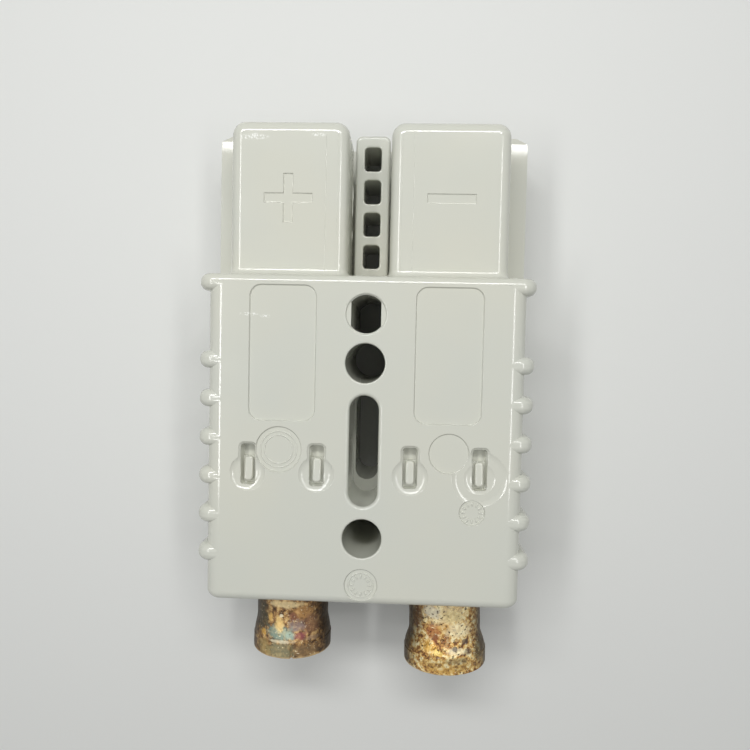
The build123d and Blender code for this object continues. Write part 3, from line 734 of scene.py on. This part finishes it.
def crimp_contact(pole, seed, crease):
    """One contact in place: its mouth is as wide as its box is high, and its axis is its mount's."""
    low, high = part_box("contact_" + pole)
    bm = barrel_profile((high[2] - low[2]) / 2 / MM)
    bmesh.ops.spin(
        bm, geom=bm.verts[:] + bm.edges[:], cent=(0, 0, 0), axis=(0, 1, 0), angle=math.tau,
        steps=AROUND, use_merge=True,
    )
    bmesh.ops.remove_doubles(bm, verts=bm.verts, dist=WELD / MM)
    press_flat(bm)
    bmesh.ops.recalc_face_normals(bm, faces=bm.faces)
    batter(bm, seed, crease)
    to_metres(bm)
    mount = mounts["crimp_barrel_" + pole]
    inward = -Vector(mount["axis"])
    mouth = Vector(mount["pos_m"]) - inward * (mount["dims"]["length_mm"] / 2 + NECK) * MM
    upward = Vector((0, 0, 1))
    turn = Matrix((inward.cross(upward), inward, upward)).transposed()
    bmesh.ops.transform(bm, verts=bm.verts, matrix=Matrix.Translation(mouth) @ turn.to_4x4())
    made = make_piece(object_from(bm, "crimp_contact_" + pole))
    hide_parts("contact_" + pole)
    shade_by_fold(made.data)
    return made


positive = crimp_contact("positive", POSITIVE_SEED, POSITIVE_CREASE)
negative = crimp_contact("negative", NEGATIVE_SEED, None)
print("contact faces:", len(positive.data.polygons), len(negative.data.polygons))

# %% [markdown]
# ## Corroded plating
#
# The contacts are copper under a thin silver plate. Damp has eaten the plate: what is left of it is cream
# and gold, the bare copper has gone brown and red, and salts have set as a green bloom. None of this is
# even, so each colour is its own patch with a ragged edge, laid over a mottled ground one after another,
# as the layers grew. Bright flakes of plate stay metallic, while oxide and salt are dull, so the same masks
# drive the shader's metal and roughness. The cream of the flakes is partly their own colour and partly a
# painted glint.

# %% Layers that both contacts share
MOTTLE_SIZE = 0.9
MOTTLE_DETAIL = 6.0
MOTTLE_ROUGHNESS = 0.65
TONE_LOW = 0.4          # noise level from which the first tone covers the ground
TONE_STEP = 0.055
TONE_BLUR = 0.05
RAGGED_SIZE = 0.8
RAGGED_SPREAD = (0.15, 0.85)
PIT_MARK_SIZE = 0.42
PIT_MARK_BLUR = 0.12
GLINT_SIZE = 0.38
GLINT_SPREAD = (0.63, 0.74)
PATCH_LEVEL = 19        # patches lie on the upper side, at this height and this deep
PATCH_DEPTH = 9
PIT_BROWN = "#46301F"
FLAKE_AND_PAINTED_GLINT_CREAM = "#F0E2BC"
PAINTED_SHADE_BROWN = "#2E2417"
RIM_TAN = "#C8AF84"
SILVER_PLATE = "#CFCBBD"
PLATE_FROM = (-25.0, -22.0)   # under the housing the plate is whole
PAINTED_SHADE_FROM = (18.3, 15.4)      # painted shade: the lower sides of a barrel darken between these heights
PAINTED_SHADE_COVER = 0.9
RIM_FADE = 0.3
METAL_SHARE = (0.5, 0.9)      # from oxide to bright flakes
METAL_ROUGHNESS = (0.48, 0.3)
CRUST_STRENGTH = 0.7
CRUST_HEIGHT = 0.12


def tones(tree, place, codes):
    """Layers from dark to light, each where the mottling stands a little higher than for the last."""
    pattern = {"Vector": place, "Scale": per_metre(MOTTLE_SIZE)}
    mottling = node(
        tree, "ShaderNodeTexNoise", pattern | {"Detail": MOTTLE_DETAIL, "Roughness": MOTTLE_ROUGHNESS}
    )
    layers = []
    for step, code in enumerate(codes):
        level = TONE_LOW + TONE_STEP * step
        spread = {"Value": mottling.outputs["Fac"], "From Min": level, "From Max": level + TONE_BLUR}
        layers.append((node(tree, "ShaderNodeMapRange", spread).outputs["Result"], code))
    return layers


def corroded_plating(name, codes, patches, pit_from, rim_from):
    """Silver plate over copper, eaten away at the exposed end and whole on the blade, with painted shade on
    the lower sides.
    """
    made, tree, shader, place = new_material(name)
    split = node(tree, "ShaderNodeSeparateXYZ", {0: place})
    ragged = grain(tree, place, RAGGED_SIZE, *RAGGED_SPREAD, detail=6.0)
    pits = grain(tree, place, PIT_MARK_SIZE, pit_from, pit_from + PIT_MARK_BLUR, detail=4.0)
    # flakes of plate, metallic and smooth; their cream colour is partly a painted glint highlight
    flake_and_glint_mask = grain(tree, place, GLINT_SIZE, *GLINT_SPREAD, detail=4.0)
    # painted shade: each barrel's sides get darker towards the bottom
    start, end = (level * MM for level in PAINTED_SHADE_FROM)
    edge = {"Value": split.outputs["Z"], "From Min": start, "From Max": end, "To Max": PAINTED_SHADE_COVER}
    side = node(tree, "ShaderNodeMapRange", edge).outputs["Result"]
    start, end = rim_from * MM, (rim_from - RIM_FADE) * MM
    edge = {"Value": split.outputs["Y"], "From Min": start, "From Max": end}
    rim = node(tree, "ShaderNodeMapRange", edge).outputs["Result"]
    start, end = (along * MM for along in PLATE_FROM)
    edge = {"Value": split.outputs["Y"], "From Min": start, "From Max": end}
    whole = node(tree, "ShaderNodeMapRange", edge).outputs["Result"]
    layers = tones(tree, place, codes[1:])
    for code, (x, y), (reach_x, reach_y), cover in patches:
        centre, reach = (x, y, PATCH_LEVEL), (reach_x, reach_y, PATCH_DEPTH)
        layers.append((patch(tree, place, centre, reach, ragged, cover), code))
    layers += [(pits, PIT_BROWN), (flake_and_glint_mask, FLAKE_AND_PAINTED_GLINT_CREAM), (side, PAINTED_SHADE_BROWN)]
    layers += [(rim, RIM_TAN), (whole, SILVER_PLATE)]
    tree.links.new(coats(tree, codes[0], layers), shader.inputs["Base Color"])
    oxide, flake = METAL_SHARE
    metal = node(tree, "ShaderNodeMapRange", {"Value": flake_and_glint_mask, "To Min": oxide, "To Max": flake})
    metal = node(tree, "ShaderNodeMath", {0: metal.outputs["Result"], 1: whole}, operation="MAXIMUM")
    tree.links.new(metal.outputs[0], shader.inputs["Metallic"])
    oxide, flake = METAL_ROUGHNESS
    rough = node(tree, "ShaderNodeMapRange", {"Value": flake_and_glint_mask, "To Min": oxide, "To Max": flake})
    tree.links.new(rough.outputs["Result"], shader.inputs["Roughness"])
    height = node(tree, "ShaderNodeMath", {0: ragged, 1: pits}, operation="SUBTRACT").outputs[0]
    crust = {"Height": height, "Strength": CRUST_STRENGTH, "Distance": CRUST_HEIGHT * MM}
    tree.links.new(node(tree, "ShaderNodeBump", crust).outputs["Normal"], shader.inputs["Normal"])
    return made


# %% Patches of the positive contact
BROWN_TONES = ("#4A3522", "#6B4E30", "#8C6840", "#AE8855", "#CFAD75")
POSITIVE_PITS = 0.63    # noise level from which the plate is pitted
POSITIVE_RIM = -37.6    # the worn rim lies behind this place
POSITIVE_PATCHES = (    # colour, middle across and along, reach across and along, and how much it covers
    # painted shade: the dark olive on the barrel's left flank
    ("#4A4531", (-18.2, -31.0), (1.9, 3.0), 0.85),
    # painted highlight: a cream band along the top of the barrel, next to the housing
    ("#E8D2A0", (-13.4, -28.5), (3.0, 0.7), 0.7),
    ("#BE9058", (-10.4, -30.0), (1.9, 1.2), 0.6),
    ("#74463A", (-12.1, -30.7), (0.8, 0.8), 0.7),
    ("#8F6850", (-9.0, -32.2), (1.6, 1.7), 0.6),
    ("#8D7C77", (-11.6, -32.3), (1.5, 1.1), 0.75),
    ("#8CA495", (-14.4, -33.6), (2.5, 1.3), 0.7),
    ("#9DB8AC", (-12.5, -34.0), (0.9, 0.7), 0.6),
    ("#EDCB85", (-14.5, -32.2), (0.8, 1.4), 0.75),
    ("#DEB468", (-16.2, -31.1), (0.5, 0.8), 0.8),
    ("#EFE2C0", (-14.2, -30.5), (0.3, 0.3), 0.8),
    ("#D2A350", (-17.5, -34.0), (0.5, 0.6), 0.9),
    ("#8A474C", (-10.8, -34.0), (1.1, 0.7), 0.7),
    ("#A98F72", (-8.8, -34.6), (1.2, 0.4), 0.6),
    ("#8F8D6D", (-14.2, -36.7), (2.8, 1.5), 0.7),
    ("#A08B57", (-17.2, -36.4), (1.3, 1.5), 0.7),
    ("#7D6647", (-9.9, -36.7), (2.2, 1.3), 0.7),
    # painted highlight: a thin cream line along the upper edge of the lip
    ("#F0E4C2", (-13.9, -35.0), (2.4, 0.3), 0.6),
)
brown = corroded_plating(
    "corroded_plating_brown", BROWN_TONES, POSITIVE_PATCHES, POSITIVE_PITS, POSITIVE_RIM
)
positive.data.materials.append(brown)
print("positive finish:", positive.data.materials[0].name)

# %% Patches of the negative contact
CREAM_TONES = ("#6A4524", "#A87A40", "#D0A862", "#E4CB8E", "#F0E3B8")
NEGATIVE_PITS = 0.58
NEGATIVE_RIM = -39.4
NEGATIVE_PATCHES = (
    ("#E2D5AC", (14.4, -29.4), (4.0, 2.2), 0.6),
    ("#D2CFBE", (12.2, -29.0), (1.5, 1.2), 0.6),
    ("#C9B678", (15.8, -29.6), (1.6, 1.4), 0.35),
    ("#6A4424", (9.9, -30.5), (1.0, 2.4), 0.8),
    ("#C4964E", (14.6, -31.6), (1.9, 0.9), 0.6),
    ("#A8663E", (12.6, -32.8), (1.2, 1.6), 0.65),
    ("#7A4228", (13.0, -33.6), (0.5, 0.9), 0.7),
    ("#8D5836", (14.9, -34.0), (0.7, 1.3), 0.6),
    ("#EEE3BC", (17.0, -32.2), (2.2, 1.4), 0.6),
    ("#F0E4BE", (16.6, -35.6), (1.8, 0.6), 0.65),
    ("#D6A94A", (11.9, -35.2), (1.2, 0.9), 0.55),
    ("#E6CA70", (13.4, -35.9), (0.8, 0.5), 0.6),
    ("#5A4C43", (18.2, -34.2), (0.6, 0.5), 0.8),
    ("#544D4C", (16.4, -35.2), (0.5, 0.4), 0.8),
    ("#665C50", (18.8, -35.8), (0.7, 0.5), 0.75),
    ("#A08A50", (15.5, -38.0), (5.0, 1.3), 0.35),
    ("#77745C", (16.8, -37.2), (2.0, 0.6), 0.45),
    ("#C89A46", (14.2, -38.8), (2.6, 0.5), 0.35),
    # painted shade: the dark olive on the barrel's right flank
    ("#57523A", (20.8, -36.0), (1.0, 2.0), 0.7),
)
cream = corroded_plating(
    "corroded_plating_cream", CREAM_TONES, NEGATIVE_PATCHES, NEGATIVE_PITS, NEGATIVE_RIM
)
negative.data.materials.append(cream)
print("negative finish:", negative.data.materials[0].name)

# %% [markdown]
# ## Rolled stainless springs
#
# The leaf springs are cut from rolled strip, so fine lines run along their length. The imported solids
# already have their true shape, and only need this finish. The lines come from noise that is stretched
# along the strip.

# %% Material of the springs
STAINLESS_GREY = "#B4B2AB"
STAINLESS_LIGHT = "#C4C2BC"
STAINLESS_ROUGHNESS = (0.22, 0.45)
ROLLING_LINE = 0.2      # coarser than real rolling lines, so that they show
ROLLING_STRETCH = 0.03


def rolled_stainless():
    """Stainless strip with fine lines along the rolling direction."""
    made, tree, shader, place = new_material("rolled_stainless")
    along = {"Vector": place, "Scale": (1.0, ROLLING_STRETCH, 1.0)}
    stretched = node(tree, "ShaderNodeMapping", along)
    streaks = grain(tree, stretched.outputs["Vector"], ROLLING_LINE, 0.0, 1.0, detail=2.0)
    bright, dull = STAINLESS_ROUGHNESS
    rough = node(tree, "ShaderNodeMapRange", {"Value": streaks, "To Min": bright, "To Max": dull})
    tree.links.new(rough.outputs["Result"], shader.inputs["Roughness"])
    tint = coats(tree, STAINLESS_GREY, [(streaks, STAINLESS_LIGHT)])
    tree.links.new(tint, shader.inputs["Base Color"])
    shader.inputs["Metallic"].default_value = 1.0
    return made


spring_finish = rolled_stainless()
for name in ("spring_positive", "spring_negative"):
    spring = frame["nodes"][name]
    spring.data.materials.clear()
    spring.data.materials.append(spring_finish)
print("spring finish:", spring_finish.name)

# %% [markdown]
# ## Floor, lamps and surroundings
#
# A plain pale floor carries the shadow, and far from the object it fades into the pale surroundings, so
# that no dark horizon shows. Three strip lamps stand round the camera, in front and to both sides, so
# that each rounding reflects one of them as a thin line, and the pale world fills the shade. Large soft
# boxes would be simpler, but their reflections spread over the roundings and the edges lose their crisp
# lines.

# %% Floor
FLOOR_REACH = 1500 * MM  # from its middle to its sides
FLOOR_DROP = 0.02 * MM   # just clear of the underside
FLOOR_FADE = (110 * MM, 310 * MM)
BOARD_WHITE = "#DDDEDB"
BOARD_ROUGHNESS = 0.7    # matt paint, which shows shadows and no reflections
SURROUNDINGS = "#F2F3F3"
SURROUNDINGS_SEEN = 0.9


def seen_rays(tree):
    """1 for the rays that look at a surface, and 0 for those that only gather light."""
    rays = node(tree, "ShaderNodeLightPath", {}).outputs
    seen = rays["Is Camera Ray"]
    for other in ("Is Glossy Ray", "Is Transmission Ray"):
        seen = node(tree, "ShaderNodeMath", {0: seen, 1: rays[other]}, operation="ADD").outputs[0]
    return seen


floor_mesh = bmesh.new()
bmesh.ops.create_grid(floor_mesh, x_segments=1, y_segments=1, size=FLOOR_REACH)
bmesh.ops.translate(floor_mesh, verts=floor_mesh.verts, vec=(0, 0, -FLOOR_DROP))
floor = object_from(floor_mesh, "floor")
paint, tree, shader, place = new_material("matt_painted_board")
shader.inputs["Base Color"].default_value = colour(BOARD_WHITE)
shader.inputs["Roughness"].default_value = BOARD_ROUGHNESS
distance = node(tree, "ShaderNodeVectorMath", {0: place}, operation="LENGTH")
fade = {"Value": distance.outputs["Value"], "From Min": FLOOR_FADE[0], "From Max": FLOOR_FADE[1]}
far = node(tree, "ShaderNodeMapRange", fade, interpolation_type="SMOOTHSTEP")
both = {0: far.outputs["Result"], 1: seen_rays(tree)}
share = node(tree, "ShaderNodeMath", both, operation="MULTIPLY").outputs[0]
pale = {"Color": colour(SURROUNDINGS), "Strength": SURROUNDINGS_SEEN}
glow = node(tree, "ShaderNodeEmission", pale).outputs["Emission"]
faded = node(tree, "ShaderNodeMixShader", {0: share, 1: shader.outputs["BSDF"], 2: glow})
tree.links.new(faded.outputs["Shader"], tree.nodes["Material Output"].inputs["Surface"])
floor.data.materials.append(paint)
print("floor finish:", paint.name)

# %% Lamps
LAMP_AIM = Vector((0, 12, 20)) * MM
LAMP_DISTANCE = 300 * MM
LAMPS = (  # name, degrees that it leans off the vertical in x and in y, width and length, watts
    ("front_lamp", (-3, 33), (250, 46), 0.47),
    ("left_lamp", (-27, 4), (36, 205), 0.22),
    ("right_lamp", (25, 4), (30, 205), 0.16),
)


def strip_lamp(name, lean, size, watts):
    """A rectangular lamp that looks at the connector from a lean off the vertical."""
    data = bpy.data.lights.new(name, "AREA")
    data.shape = "RECTANGLE"
    data.size, data.size_y = size[0] * MM, size[1] * MM
    data.energy = watts
    lamp = bpy.data.objects.new(name, data)
    x, y = (math.tan(math.radians(turn)) for turn in lean)
    away = Vector((x, y, 1)).normalized()
    lamp.location = LAMP_AIM + away * LAMP_DISTANCE
    across = Vector((0, 1, 0)).cross(away).normalized()
    lamp.rotation_euler = Matrix((across, away.cross(across), away)).transposed().to_euler()
    bpy.context.scene.collection.objects.link(lamp)
    return lamp


for name, lean, size, watts in LAMPS:
    lamp = strip_lamp(name, lean, size, watts)
    print(lamp.name, "at mm", [round(side / MM) for side in lamp.location])

# %% World
WORLD_FILL = 0.28  # light that the pale surroundings throw on the object

world = bpy.data.worlds.new("pale_surroundings")
world.use_nodes = True
bpy.context.scene.world = world
tree = world.node_tree
tree.nodes.clear()
levels = {"Value": seen_rays(tree), "To Min": WORLD_FILL, "To Max": SURROUNDINGS_SEEN}
strength = node(tree, "ShaderNodeMapRange", levels).outputs["Result"]
sky = node(tree, "ShaderNodeBackground", {"Color": colour(SURROUNDINGS), "Strength": strength})
node(tree, "ShaderNodeOutputWorld", {"Surface": sky.outputs["Background"]})
bpy.context.scene.view_settings.view_transform = "Standard"
print("world:", world.name, "with a fill of", WORLD_FILL)
